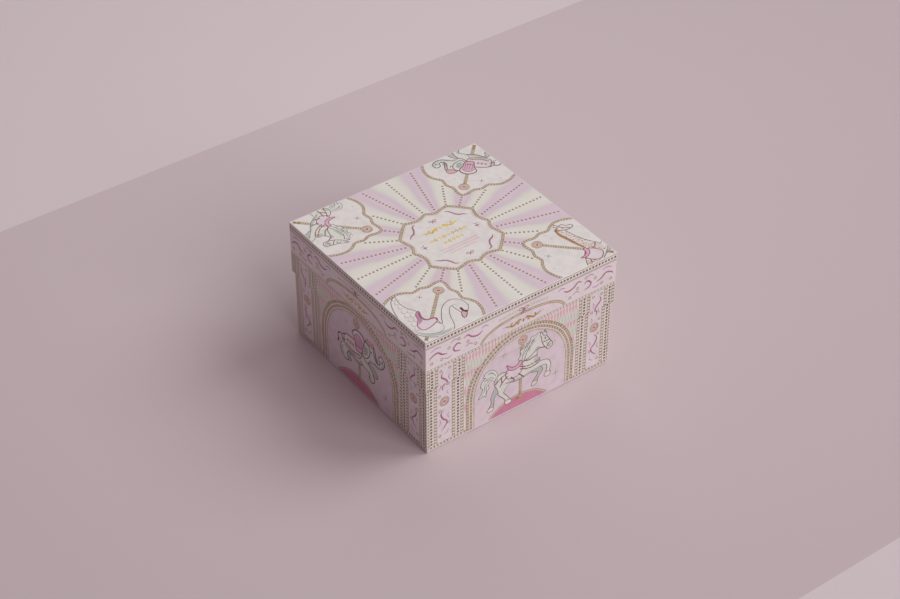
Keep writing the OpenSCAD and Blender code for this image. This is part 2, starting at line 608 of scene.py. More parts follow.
def spaced(path, pitch, closed=False):
    """Evenly spaced places along a path, half a pitch from its ends, each with the direction there."""
    path = path + path[:1] if closed else path
    total = sum(abs(b - a) for a, b in zip(path, path[1:]))
    count = max(1, round(total / pitch))
    wanted, run, places = [total * (i + 0.5) / count for i in range(count)], 0.0, []
    for a, b in zip(path, path[1:]):
        length = abs(b - a)
        while wanted and run + length >= wanted[0] and length > 0:
            places.append((a + (b - a) * (wanted.pop(0) - run) / length, (b - a) / length))
        run += length
    return places


class Pen:
    """Prints on sheets in its own coordinates, which are scaled, turned and shifted onto the side's."""

    def __init__(self, sheets, shift=0j, turn=1 + 0j, mirror=False):
        self.sheets, self.shift, self.turn, self.mirror = sheets, shift, turn, mirror

    def place(self, p):
        return self.shift + self.turn * (complex(-p.real, p.imag) if self.mirror else p)

    def moved(self, across, up, scale=1.0, degrees=0.0):
        """A pen whose zero is at a place of this one."""
        turn = scale * complex(math.cos(math.radians(degrees)), math.sin(math.radians(degrees)))
        if self.mirror:
            turn = turn.conjugate()
        return Pen(self.sheets, self.place(complex(across, up)), self.turn * turn, self.mirror)

    def mirrored(self):
        """A pen that draws left and right the other way round."""
        return Pen(self.sheets, self.shift, self.turn, not self.mirror)

    def cells(self, ink, cells, level):
        """Convex cells that make up one shape, each anticlockwise."""
        placed = [[self.place(p) for p in cell] for cell in cells]
        if self.mirror:
            placed = [cell[::-1] for cell in placed]
        for sheet in self.sheets:
            sheet.print_cells(ink, placed, level)

    def fill(self, ink, points, level):
        """A flat shape with that outline."""
        path = complexes(points)
        outline = [p for i, p in enumerate(path) if abs(p - path[i - 1]) > 1e-4]
        corners = [Vector((p.real, p.imag, 0)) for p in outline]
        cells = []
        for triangle in geometry.tessellate_polygon([corners]):
            a, b, c = (outline[i] for i in triangle)
            area = ((b - a).conjugate() * (c - a)).imag
            if abs(area) > 1e-7:
                cells.append((a, b, c) if area > 0 else (a, c, b))
        self.cells(ink, cells, level)

    def block(self, ink, left, right, bottom, top, level):
        self.cells(ink, [complexes([(left, bottom), (right, bottom), (right, top), (left, top)])], level)

    def stroke(self, ink, points, width, level, closed=False, taper=0.0):
        """A line of a width; a taper of 1 brings both ends to a point."""
        path = complexes(points)
        n = len(path)
        sides = []
        for i, (p, way) in enumerate(zip(path, directions(path, closed))):
            ends = 1.0 - taper * abs(2.0 * i / (n - 1) - 1.0) ** 2.5
            sides.append((p + way * 1j * width * ends / 2, p - way * 1j * width * ends / 2))
        pairs = list(zip(sides, sides[1:])) + ([(sides[-1], sides[0])] if closed else [])
        self.cells(ink, [(a[1], b[1], b[0], a[0]) for a, b in pairs], level)

    def dot(self, ink, centre, radius, level, tall=1.0, corners=12):
        """A round spot, or an oval one."""
        middle = complex(*centre) if isinstance(centre, tuple) else centre
        spokes = (math.tau * i / corners for i in range(corners))
        self.cells(ink, [[middle + radius * complex(math.cos(a), tall * math.sin(a)) for a in spokes]], level)

    def ring(self, ink, centre, radius, width, level):
        self.stroke(ink, arc(centre, radius, 0, 360, 24)[:-1], width, level, closed=True)

    def star(self, ink, centre, size, level, waist=0.12):
        """A four-pointed sparkle."""
        points = [complex(*centre) + size * (1j ** k) * s for k in range(4) for s in (1, waist * (1 + 1j))]
        self.fill(ink, points, level)

    def bead(self, centre):
        """A raised bead of foil."""
        for sheet in self.sheets:
            sheet.print_dome("foil", self.place(centre), BEAD_R * abs(self.turn), BEAD_H)

    def ladder(self, path, width, level, pitch=BEAD_PITCH, rung=1.25, line=0.36, closed=False, ink="gilt"):
        """A trim of two lines with rungs between them."""
        path = complexes(path)
        for side in (-0.5, 0.5):
            self.stroke(ink, beside(path, side * width, closed), line, level, closed)
        cells = []
        for p, way in spaced(path, pitch, closed):
            low, high, half = p - 0.5j * way * width, p + 0.5j * way * width, way * rung / 2
            cells.append((low - half, low + half, high + half, high - half))
        self.cells(ink, cells, level + 1)


# ---------------------------------------------------------------------------------------------
# Ornaments
# ---------------------------------------------------------------------------------------------
def ribbon(pen, points, width, level):
    """A curling ribbon with a paler streak along its middle."""
    path = curve(points, steps=6)
    pen.stroke("ribbon", path, width, level, taper=0.85)
    third = len(path) // 3
    streak = beside(path, 0.22 * width)[third:-third // 2]
    pen.stroke("ribbon_light", streak, 0.42 * width, level + 1, taper=0.9)


def curl(pen, ink, centre, size, start, sweep, width, level):
    """A spiral stroke that opens from its middle."""
    steps = 18
    path = []
    for i in range(steps + 1):
        t = i / steps
        angle = math.radians(start + sweep * t)
        path.append(complex(*centre) + size * (0.12 + 0.88 * t) * complex(math.cos(angle), math.sin(angle)))
    pen.stroke(ink, path, width, level, taper=0.7)


def medallion(pen, centre, radius, level):
    """Gilt roundel with a rose-pink boss."""
    pen.dot("gilt_light", centre, radius, level, corners=24)
    pen.ring("gilt", centre, radius, 0.5, level + 1)
    pen.ring("gilt", centre, 0.64 * radius, 0.35, level + 1)
    pen.dot("rose_light", centre, 0.58 * radius, level + 2, corners=18)
    for p, _ in spaced(arc(centre, 0.83 * radius, 0, 360, 24)[:-1], 1.5, closed=True):
        pen.dot("gilt", p, 0.22, level + 1, corners=6)
    pen.dot("tack_dark", centre, 0.32 * radius, level + 4, tall=0.45, corners=10)


def pole(pen, bottom, top, level):
    """A twisted pole, from one height to another."""
    pen.block("gilt_light", -POLE_HALF, POLE_HALF, bottom, top, level)
    pen.ladder([(0, bottom), (0, top)], 2 * POLE_HALF, level + 1, pitch=2.1, rung=0.75, line=0.32)


def rope(pen, path, width, level, closed=False):
    """A twisted cord, as the borders have."""
    pen.stroke("gilt_light", path, width, level, closed)
    pen.ladder(path, width, level + 1, pitch=2.6, rung=0.7, line=0.42, closed=closed, ink="rose_gold")


def bow(pen, centre, size, level, ink="ribbon"):
    """A small bow with two tails."""
    knot = complex(*centre)
    for way in (-1, 1):
        loop = [knot + size * complex(way * x, y) for x, y in ((0, 0), (0.55, 0.42), (1, 0.2), (0.6, -0.1))]
        pen.stroke(ink, curve(loop, closed=True), 0.14 * size, level, closed=True)
        tail = [knot + size * complex(way * x, y) for x, y in ((0, 0), (0.3, -0.5), (0.62, -0.7))]
        pen.stroke(ink, curve(tail), 0.16 * size, level, taper=0.6)
    pen.dot(ink, knot, 0.16 * size, level + 1)


def rosette(pen, centre, size, level, ink="foil"):
    """Four petals round a gap."""
    for turn in range(4):
        petal = [complex(*centre) + 1j ** turn * size * p for p in (0.12, 0.55 + 0.32j, 1.0, 0.55 - 0.32j)]
        pen.fill(ink, curve(petal, closed=True, steps=3), level)


def flourish(pen, half, level, weight):
    """A symmetrical scroll ornament of foil, in place of a name."""
    pen.fill("foil", [(0, 2.3), (-1.2, 0), (0, -2.3), (1.2, 0)], level)
    for way in (pen, pen.mirrored()):
        way.stroke("foil", curve([(2.2, 0), (0.18 * half, 1.9), (0.36 * half, 0.4), (0.55 * half, -1.5),
                                  (0.76 * half, -0.2), (half, 0.9)]), weight, level, taper=0.85)
        curl(way, "foil", (0.30 * half, -0.9), 1.7, 30, -330, 0.62 * weight, level)
        curl(way, "foil", (0.60 * half, 1.0), 1.6, 210, -320, 0.62 * weight, level)
        for x, y, radius in ((0.45, 2.1, 0.42), (0.83, -1.6, 0.42), (1.08, 0.9, 0.36)):
            way.dot("foil", (x * half, y), radius, level)


# ---------------------------------------------------------------------------------------------
# Animals of the merry-go-round: drawn facing right, with their pole at 0
# ---------------------------------------------------------------------------------------------
def part(pen, points, level, ink="coat", line="outline", weight=0.6, closed=False):
    """A filled shape with a drawn outline; a limb's outline stays open where it joins the body."""
    path = curve(points, closed=closed)
    pen.fill(ink, path, level)
    pen.stroke(line, path, weight, level + 1, closed=closed, taper=0.0 if closed else 0.5)


def strand(pen, points, level, weight=0.5, ink="grey"):
    """A fine line that ends in points."""
    pen.stroke(ink, curve(points), weight, level, taper=0.8)


def straps(pen, paths, width, level):
    """Leather straps of one width."""
    for path in paths:
        pen.stroke("tack_dark", curve(path), width, level)


def shadows(pen, shapes, level, ink="shade"):
    """Rounded shapes without a drawn outline."""
    for shape in shapes:
        pen.fill(ink, curve(shape, closed=True), level)


def dots(pen, ink, centres, radius, level, corners=8):
    """Spots of one size."""
    for centre in centres:
        pen.dot(ink, centre, radius, level, corners=corners)


def hoof(pen, points, level):
    """A pale hoof with a fine gold outline."""
    part(pen, points, level, ink="cream", line="rose_gold", closed=True)


def horse(pen, level):
    """A galloping horse with a pink saddle."""
    part(pen, [(20, 37), (23.5, 33.5), (24, 30), (21.5, 27), (19, 23.5), (18, 20.5), (14, 18.8),
               (12.8, 21.5), (15.5, 24.5), (18, 28), (18.5, 31), (13, 33), (9, 35)], level, ink="shade")
    hoof(pen, [(18.6, 21.2), (17.6, 18.4), (13.2, 17.2), (12.4, 20.6), (14.6, 22.2)], level + 1)
    part(pen, [(-27, 37), (-30.5, 30), (-31.5, 26), (-31, 21), (-32.5, 17.5), (-34, 15), (-29.5, 14),
               (-28.5, 18), (-28, 22), (-27.5, 26), (-22, 30), (-17, 33)], level, ink="shade")
    hoof(pen, [(-33.2, 16), (-35.4, 12.4), (-29.6, 12), (-28.8, 15.6)], level + 1)
    part(pen, [(-25, 45.5), (-24.6, 50), (-27.4, 55.6), (-32, 58.4), (-37.4, 57.4), (-39.6, 53.4),
               (-37.4, 52.6), (-41, 50), (-42.6, 44.4), (-40.4, 41.4), (-42, 36.6), (-45, 32), (-39.8, 33.4),
               (-36.6, 31.4), (-36, 36), (-33.6, 40), (-34.4, 44), (-31, 46.4), (-28, 44)], level,
         line="grey")
    for lock in ([(-26, 48.4), (-29.6, 53.8), (-35, 55.6)],
                 [(-27.4, 46.8), (-32, 50.4), (-37, 50), (-39.6, 46.2)],
                 [(-29, 47.4), (-34, 47.4), (-38, 44), (-38.4, 38.4), (-41.4, 34.4)],
                 [(-33, 45.6), (-36.4, 41.6), (-36.4, 36.6), (-38, 33.4)],
                 [(-27, 50.4), (-31.4, 55.6), (-36, 54.4)], [(-31, 48.8), (-35.6, 49), (-39.4, 50.4)]):
        strand(pen, lock, level + 2)
    part(pen, [(21, 73), (17.6, 76.2), (12.6, 75), (9.4, 76), (7, 71.4), (3, 70.4), (2.8, 66), (-1, 63.4),
               (0, 59.4), (-2.8, 55.4), (-0.6, 52), (-1.6, 48.6), (3, 49.5), (7, 56), (9.5, 62), (13, 67),
               (18, 70)], level, line="grey")
    body = [(20.5, 71), (25.5, 69.5), (28.8, 64.5), (31.8, 59.5), (34, 56), (33.3, 53), (30.8, 51.8),
            (28.2, 52), (26.5, 54.5), (23.5, 55.8), (20, 56.5), (17.5, 54), (17.8, 49), (20.3, 45),
            (19.5, 40.5), (15.5, 36), (9, 34), (0, 32.6), (-8, 33.2), (-14, 35), (-20, 33), (-26, 36),
            (-28.3, 41), (-26.5, 46), (-21.5, 49), (-15, 48.3), (-8, 46.6), (-1, 48), (3.5, 52), (6, 58.5),
            (9.5, 65), (14.5, 69.5)]
    part(pen, body, level + 2, closed=True)
    shadows(pen, ([(-22, 35), (-12, 36.5), (2, 35), (14, 37), (8, 34.6), (0, 33.2), (-9, 33.8), (-15, 35.3)],
                  [(17.5, 54), (15, 57), (17.5, 60), (21, 57.3)],
                  [(-26.6, 38), (-24, 42), (-25, 46), (-27.4, 42)],
                  [(17.9, 50), (14, 47), (16.6, 42.6), (19.4, 44.6)],
                  [(27.6, 60), (30, 57), (31.4, 54.2), (28, 55)]), level + 4)
    for lock in ([(19, 71.4), (13, 69), (9.6, 65), (7.4, 59.4)],
                 [(17, 74.6), (11.6, 71.6), (7.4, 66.6), (4.8, 60)],
                 [(12, 74.2), (7.6, 70.6), (4.6, 65.8), (2.4, 60.6)], [(8, 68.6), (3.6, 63.4), (1.4, 57.2)],
                 [(5.6, 62.4), (1.8, 57), (1, 52.4)], [(14.8, 67.6), (10.4, 63.2), (8.4, 57.4)]):
        strand(pen, lock, level + 4, 0.55)
    part(pen, [(-26, 36), (-24, 30.5), (-23.5, 26), (-19.5, 21.5), (-16.5, 17.5), (-16, 14.8), (-11, 14.5),
               (-12.3, 17.8), (-15, 22), (-18, 26.5), (-15, 30.5), (-11, 34)], level + 4)
    hoof(pen, [(-16.2, 15.6), (-15.2, 11.2), (-9.4, 11.6), (-10.8, 15.4)], level + 6)
    part(pen, [(16, 42), (24, 41.5), (29.5, 39.5), (32, 36), (33, 31), (32, 27.5), (31.5, 25.5), (27.5, 25),
               (27.5, 26), (28.5, 29.5), (28.5, 33), (26.5, 35.5), (20, 36), (12, 35)], level + 4)
    hoof(pen, [(27.2, 25.8), (26.2, 22), (31, 20.4), (32.6, 25)], level + 6)
    for x, y in ((18.8, 70.8), (22.8, 71)):
        part(pen, [(x, y), (x + 0.4, y + 5.6), (x + 3.4, y + 0.2)], level + 5)
    part(pen, [(21.4, 74.4), (24, 74), (26.4, 70.4), (25.6, 66.8), (23.6, 69.6)], level + 6, line="grey",
         weight=0.45)
    blanket = [(-15, 48.6), (-14, 39.5), (-2, 38.2), (1.5, 48.2)]
    seat = [(-15, 54.8), (-13.2, 49.5), (-8, 46.4), (-2, 47), (1.4, 51.2), (-0.6, 53.4), (-4, 50.4),
            (-8, 49.8), (-11.8, 52)]
    harness = ([(-1, 47), (6, 43.6), (14, 43.4), (19.8, 44)],
               [(-1, 44), (8, 40.4), (15, 40.4), (19.6, 41.4)], [(-14, 46.6), (-20, 44.6), (-27.4, 39.6)],
               [(-14, 43), (-19, 38.6), (-22.4, 34.4)], [(-10.6, 40), (-7.6, 36.4), (-7, 33.6)],
               [(3, 51.6), (9, 49.4), (17.6, 51)], [(-2.6, 40), (1, 36), (3.6, 33.2)],
               [(-20.6, 44.4), (-20.4, 41.4), (-20, 38)])
    straps(pen, harness, 1.05, level + 6)
    dots(pen, "gilt_light", ((6, 43.6), (10, 43.2), (14, 43.4), (8, 40.4), (12, 40.2), (-18, 45.4),
                             (-23, 42.6)), 0.62, level + 7)
    saddle(pen, level + 6, blanket, seat)
    bridle = ([(21.5, 69.5), (22.4, 62), (25.6, 55.4)], [(22.6, 61.6), (27, 61.5), (30.4, 61.6)],
              [(27.2, 54), (29.6, 57.5), (31.8, 59.2)], [(26, 55.2), (18, 57), (9, 52), (2, 50.6)])
    straps(pen, bridle, 0.75, level + 6)
    eye(pen, (25.8, 65), 0.95, level + 7)
    pen.dot("outline", (31.9, 55.9), 0.45, level + 6)
    strand(pen, [(29.3, 53.6), (31, 54.2), (32.4, 53.9)], level + 6, 0.4, "outline")


def saddle(pen, level, blanket, seat):
    """A blanket with an edging, and a seat with a high back."""
    part(pen, blanket, level, ink="blush", line="tack_dark", weight=0.75, closed=True)
    part(pen, seat, level + 2, ink="tack", line="ribbon", weight=0.85, closed=True)


def eye(pen, centre, size, level):
    """A dark eye in a pale rim."""
    pen.dot("pearl", centre, 1.5 * size, level, tall=0.8)
    pen.dot("outline", centre, size, level + 1)


def elephant(pen, level):
    """A trotting elephant with a hooded seat."""
    part(pen, [(-22, 38), (-25, 33), (-23.5, 28), (-20, 25), (-15.5, 24), (-12.5, 27), (-14, 31), (-11, 36)],
         level, ink="shade")
    part(pen, [(4, 40), (12, 41.5), (20, 41), (25.5, 37.5), (27.5, 33.8), (24.5, 31.4), (21, 33.5), (15, 36),
               (6, 35)], level, ink="shade")
    dots(pen, "gilt_light", ((24, 32.6), (26, 33.8), (-15.2, 25), (-17.8, 24.8)), 0.8, level + 2, corners=12)
    strand(pen, [(-23, 46.6), (-28, 47.6), (-31.8, 45), (-31.4, 39.5)], level + 1, 1.2, "outline")
    for tip in (-33.4, -31.8, -30.2):
        strand(pen, [(-31.4, 41), (tip, 35.5)], level + 2, 0.6, "outline")
    part(pen, [(-24, 40), (-25.5, 46), (-23, 50), (-17, 52), (-8, 51.5), (0, 52), (6, 55), (9, 61),
               (12.5, 66), (17, 68.2), (21.5, 66), (24.5, 61), (25.6, 55), (27.6, 51.6), (30.6, 51.2),
               (31.4, 54), (29.8, 57.6), (31.6, 61), (35.4, 61.2), (38.2, 57.4), (37, 51.5), (33, 47.5),
               (28, 46), (23, 46.4), (18, 45), (14, 42), (13.5, 37), (6, 33), (-4, 31.5), (-12, 34),
               (-19, 35)], level + 2, weight=0.85, closed=True)
    shadows(pen, ([(-19, 35.6), (-12, 36.6), (-3, 34.4), (6, 36), (13, 39), (6, 33.6), (-4, 32),
                   (-12, 34.5)],
                  [(18.6, 45.4), (24, 48.4), (30, 48.2), (35, 51.6), (37.6, 56.6), (36.4, 51.4), (32.8, 48),
                   (28, 46.6), (23, 46.8)], [(23.4, 61), (22, 55.6), (24.6, 50.6), (25, 55)],
                  [(-24.6, 44), (-22, 48.6), (-20, 45), (-22.4, 40)],
                  [(14, 42.4), (16, 46.6), (21, 48), (18, 45.6)]), level + 4)
    curl(pen, "outline", (34.6, 57.4), 2.2, 150, -300, 0.7, level + 4)
    for start, end in ((25.6 + 55.8j, 28.4 + 52.6j), (25.4 + 53j, 28 + 48.4j), (28.8 + 51.6j, 30.6 + 47.6j),
                       (31.6 + 53j, 34.6 + 49.2j), (31.4 + 55.6j, 36.6 + 53.4j)):
        strand(pen, [start, 0.5 * (start + end) + 0.5 + 0.4j, end], level + 5, 0.45, "outline")
    part(pen, [(-25, 40), (-28.5, 35), (-28.5, 29.5), (-25, 25.5), (-19.5, 23), (-16.5, 26), (-19, 30),
               (-16, 35), (-12, 40)], level + 5, weight=0.85)
    part(pen, [(2, 37), (6, 33), (12.5, 32), (15, 29), (14.8, 24.5), (19, 22.6), (22.4, 26), (21, 32),
               (17.5, 37), (13, 41)], level + 5, weight=0.85)
    shadows(pen, ([(-27.6, 34), (-27.4, 29.6), (-24, 25.8), (-23, 28), (-25, 31), (-24.4, 36)],
                  [(13.4, 32), (15.8, 29), (15.6, 25), (17.6, 24.4), (17.6, 29.6), (15.4, 33.6)]),
            level + 7)
    toes = ((-25.2, 26.8), (-22.8, 25.2), (-20.4, 24.4), (16.4, 24.8), (18.6, 24), (20.8, 25.4))
    dots(pen, "gilt_light", toes, 0.85, level + 8, corners=12)
    part(pen, [(10, 63), (15, 61), (17, 55), (14.5, 48.5), (9.5, 44.5), (5, 48), (4, 56), (6, 61)],
         level + 5, weight=0.85, closed=True)
    shadows(pen, [[(8.5, 58.6), (12.8, 57.6), (13.6, 52.5), (11.4, 48.6), (8.4, 47.6), (6.8, 52)]], level + 7)
    for y in (51, 54, 57):
        strand(pen, [(8.6, y - 2.6), (11, y - 0.6), (14, y - 0.8)], level + 8, 0.45, "outline")
    part(pen, [(-20, 52), (-21, 39), (-10, 36.5), (1.5, 38.5), (3.5, 52.5)], level + 7, ink="blush",
         line="tack_dark", weight=0.85, closed=True)
    pen.ladder(curve([(-19.4, 41.4), (-10, 39.2), (1, 41.2)]), 1.9, level + 9, pitch=1.7)
    for x in (-16.6, -12.6, -8.6):
        rosette(pen, (x, 47), 1.7, level + 9, "tack_dark")
        pen.dot("gilt_light", (x, 43.4), 0.6, level + 9, corners=8)
    part(pen, [(-9, 60.5), (-6.6, 65), (-1, 67.6), (5, 66.6), (9, 62), (6.6, 55), (5, 46.6), (-3.5, 45),
               (-5.6, 54)], level + 9, ink="tack", weight=0.85, closed=True)
    shadows(pen, [[(-8, 60.6), (-5.8, 64.4), (-0.8, 66.5), (4.6, 65.6), (8, 61.8), (6.6, 59.6), (3.4, 62.6),
                   (-1, 63.4), (-4.6, 61.4), (-6.4, 58.4)]], level + 11, ink="pearl")
    pen.stroke("ribbon", curve([(-6.3, 58.2), (-4.4, 61.4), (-1, 63.3), (3.4, 62.5), (6.7, 59.4)]), 0.75,
               level + 12)
    for x in (-3.2, -0.4, 2.4, 4.6):
        strand(pen, [(x, 60.6), (x - 0.6, 54), (x - 0.2, 47.4)], level + 11, 0.6, "ribbon")
    strand(pen, [(-4.6, 51.4), (0.4, 50.2), (5.6, 51.6)], level + 12, 0.8, "tack_dark")
    part(pen, [(11.4, 64.6), (13.4, 67.6), (17.6, 69.8), (21.6, 67.2), (22.2, 63.6), (17, 62.4)], level + 5,
         ink="rose_light", line="tack_dark", weight=0.7, closed=True)
    dots(pen, "tack_dark", ((14.2, 65.6), (17, 67), (19.8, 65.4), (17, 64.2)), 0.5, level + 7)
    straps(pen, ([(3.4, 45), (9, 41.4), (14.4, 40.4)], [(-20.4, 45), (-25.2, 43)],
                 [(21.6, 63.4), (23.4, 56), (26.6, 49.6)]), 0.95, level + 7)
    eye(pen, (19, 57.2), 1.0, level + 7)


def swan(pen, level):
    """A swan with its neck arched, tail feathers behind."""
    outline = [(-6, 9), (-14, 14), (-23, 23), (-31, 34), (-36, 46), (-34.5, 54), (-30, 47.5), (-25.5, 43.5),
               (-20, 40.5), (-13.5, 38.5), (-7, 31), (2, 28.6), (9.4, 26.5), (8, 33), (6.5, 42), (6.6, 49.5),
               (9, 55), (13, 58.4), (18.4, 59.2), (23.6, 56.8), (27, 52.6), (27.6, 47), (25.6, 43.4),
               (22.6, 43.2), (19.6, 45.4), (16.4, 47.6), (13.7, 50.2), (12.4, 47.2), (13, 42), (14.8, 36.4),
               (17.8, 30.5), (20, 24.6), (19, 17.6), (14, 12.6), (5, 8.8)]
    part(pen, outline, level + 2, ink="pearl", weight=0.5, closed=True)
    shadows(pen, [[(-4, 9.6), (8, 10.8), (16.4, 16.6), (19, 24), (16, 20.6), (6, 14), (-6, 12.6),
                   (-14, 15.6)]], level + 3)
    body = curve(outline, closed=True)
    for row in range(9):
        for k in range(5):
            tip = complex(-35.4 + 3.6 * row + 4.4 * k, 49 - 4.9 * row + 1.2 * k)
            if tip.real < -9 and inside(tip, body) and inside(tip + 3 + 2j, body):
                feather = [tip + p for p in (-1 + 4j, -0.8 + 0.9j, 1.4 + 0j, 3.4 + 1.4j)]
                strand(pen, feather, level + 4, 0.4, "rose_gold")
    strand(pen, [(9.4, 26.5), (7.6, 27.6), (5.4, 30)], level + 4, 0.5)
    strand(pen, [(2, 12), (9, 15.5), (12, 21), (9, 26.5)], level + 4, 0.45)
    strand(pen, [(13.7, 50), (16, 52), (18.6, 50.4)], level + 4, 0.45, "ribbon_light")
    part(pen, [(-12.1, 38.9), (-13.6, 34.2), (-10.6, 28.3), (-10, 21.2), (-7, 17.1), (-3, 16.5), (1.2, 21.2),
               (4.7, 28.3), (4.7, 31.8), (2.9, 33), (0, 31.8), (-2.9, 29.5), (-6.5, 29.5), (-8.8, 33)],
         level + 5, ink="blush", line="ribbon", weight=0.9, closed=True)
    shadows(pen, [[(-12, 37.6), (-13, 34), (-10, 28.6), (-9.2, 22), (-7.6, 24.6), (-6.8, 27.6), (-9.6, 32)]],
            level + 6, ink="ribbon_light")
    pen.stroke("ribbon", curve([(-12, 38.6), (-10, 33), (-6.4, 29.6), (-3, 29.6), (0, 31.6), (3, 32.6),
                                (4.6, 30)]), 1.5, level + 7, taper=0.4)
    part(pen, [(23.2, 44.4), (23.6, 40), (25.8, 36.8), (27.6, 38.6), (27.2, 44.6)], level + 4, ink="rose",
         closed=True)
    shadows(pen, [[(20.6, 48.6), (22.4, 49), (24.4, 46.6), (27.6, 46.4), (27.4, 44), (24.6, 44.4),
                   (22.2, 45.6)]], level + 6, ink="outline")
    pen.dot("outline", (21.5, 48.2), 1.1, level + 7)


def giraffe(pen, level):
    """A galloping giraffe with a spotted coat."""
    for leg in ([(6, 12), (12, 9), (17, 5), (19, -2), (22.5, -6), (20, -8), (16.5, -3), (13.5, 2), (6, 5),
                 (0, 8)],
                [(-20, 14), (-27, 9), (-31, 2), (-35, -2), (-33, -4.5), (-28, -0.5), (-22.5, 5), (-14, 9)]):
        part(pen, leg, level, ink="shade")
    strand(pen, [(-22.4, 21.5), (-27, 20.5), (-29.5, 15), (-31.5, 11)], level, 1.4, "tan")
    outline = [(-22.4, 22.4), (-16.5, 24.6), (-10.6, 26), (-4.7, 24.4), (0, 26), (3.5, 29), (8.3, 36.6),
               (13, 43.6), (16.5, 49.4), (20.6, 53.4), (25, 54.2), (29.5, 52.6), (31.3, 50.4), (30.4, 47.2),
               (32.6, 43.6), (31.3, 41.2), (28.3, 42.2), (24.4, 46), (22.6, 46), (20.6, 42.5), (17.1, 36.6),
               (14.2, 30.7), (12.4, 24.8), (10.8, 17.7), (7.5, 11.6), (0, 9), (-9.4, 10.6), (-17, 11),
               (-22, 14.6), (-24, 19)]
    part(pen, outline, level + 2, ink="cream", closed=True)
    spots = random.Random(5)
    body = curve(outline, closed=True)
    placed = []
    for _ in range(1600):
        spot = complex(spots.uniform(-23, 22), spots.uniform(9, 52))
        under_saddle = -11.5 < spot.real < 1.2
        crowded = any(abs(spot - other) <= 1.75 for other in placed)
        at_edge = any(abs(spot - edge) <= 0.8 for edge in body)
        if inside(spot, body) and not (under_saddle or crowded or at_edge):
            placed.append(spot)
            pen.dot("tan", spot, spots.uniform(0.5, 0.85), level + 4, tall=spots.uniform(0.8, 1.3), corners=6)
    pen.stroke("tan", curve([(2.6, 28.6), (7.2, 37), (12, 44.4), (15.6, 50.2), (20.4, 54.4), (24.6, 55)]),
               2.4, level + 4, taper=0.3)
    for p, way in spaced(curve([(3, 29.6), (7.6, 37.4), (12.4, 44.8), (16, 50.6), (20.4, 54.6)]), 1.5):
        pen.stroke("outline", [p - way * 1.1j, p + way * (0.9j - 0.7)], 0.34, level + 5, taper=0.4)
    for leg in ([(8, 16), (14, 14.5), (21, 13), (24, 7), (26.5, 1), (23.6, 0), (20.5, 5), (17, 8.4), (9, 9),
                 (2, 8.6)],
                [(-22, 18), (-24, 11), (-22.5, 4), (-20, -1.5), (-21.5, -6.5), (-17.5, -6.8), (-16, -1.5),
                 (-17.5, 4), (-15.5, 9), (-10, 11)]):
        part(pen, leg, level + 4, ink="cream")
    for toe in ((25.2, 0), (21.2, -7.4), (-34.2, -3.6), (-19.6, -7)):
        pen.dot("gilt", toe, 1.7, level + 6, tall=0.8, corners=8)
    for x in (25.6, 28.2):
        strand(pen, [(x, 53), (x + 0.7, 56), (x + 0.9, 57.2)], level + 4, 0.9, "tan")
        pen.dot("outline", (x + 0.9, 57.5), 0.65, level + 5)
    part(pen, [(23.4, 53), (20.6, 55.6), (21, 52.6)], level + 4, ink="cream")
    saddle(pen, level + 6, [(-11.4, 25.4), (-11, 13.6), (0.6, 12.8), (1.2, 25.6)],
           [(-12.4, 29.4), (-10.8, 25.6), (-5.6, 23.2), (-0.6, 24), (1.8, 28), (-0.8, 28.6), (-3.6, 26.4),
            (-8, 26.6)])
    straps(pen, ([(1, 22), (6, 20), (11.6, 20)], [(-11, 22), (-17, 20), (-23.4, 17)],
                 [(22, 53.4), (24.4, 46.4)], [(27.6, 52.8), (27.2, 47.6), (28, 42.8)]), 0.8, level + 5)
    eye(pen, (26.4, 49.6), 0.8, level + 6)


def inside(p, path):
    """Whether a point lies within a closed path."""
    crossings = 0
    for a, b in zip(path, path[1:] + path[:1]):
        if (a.imag > p.imag) != (b.imag > p.imag):
            crossings += p.real < a.real + (p.imag - a.imag) / (b.imag - a.imag) * (b.real - a.real)
    return crossings % 2 == 1


# ---------------------------------------------------------------------------------------------
# The printed pattern of a side
# ---------------------------------------------------------------------------------------------
def arch(radius):
    """The outline of an arch of that radius: up one leg, round, and down the other."""
    low = FLOOR_LINE[0]
    return [complex(radius, low)] + arc((0, ARCH_MID), radius, 0, 180, 40) + [complex(-radius, low)]


def bead_row(pen, path, level):
    """A row of foil beads, each on a dark disc that paints in the foil's dark reflection."""
    for p, _ in spaced(complexes(path), BEAD_PITCH):
        pen.dot("bronze", p, BEAD_DARK_REFLECTION_R, level)
        pen.bead(p)


def level_ladder(pen, left, right, band, level, **style):
    """A ladder-like trim along a level band."""
    middle = sum(band) / 2
    pen.ladder([(left, middle), (right, middle)], LADDER_W, level, **style)


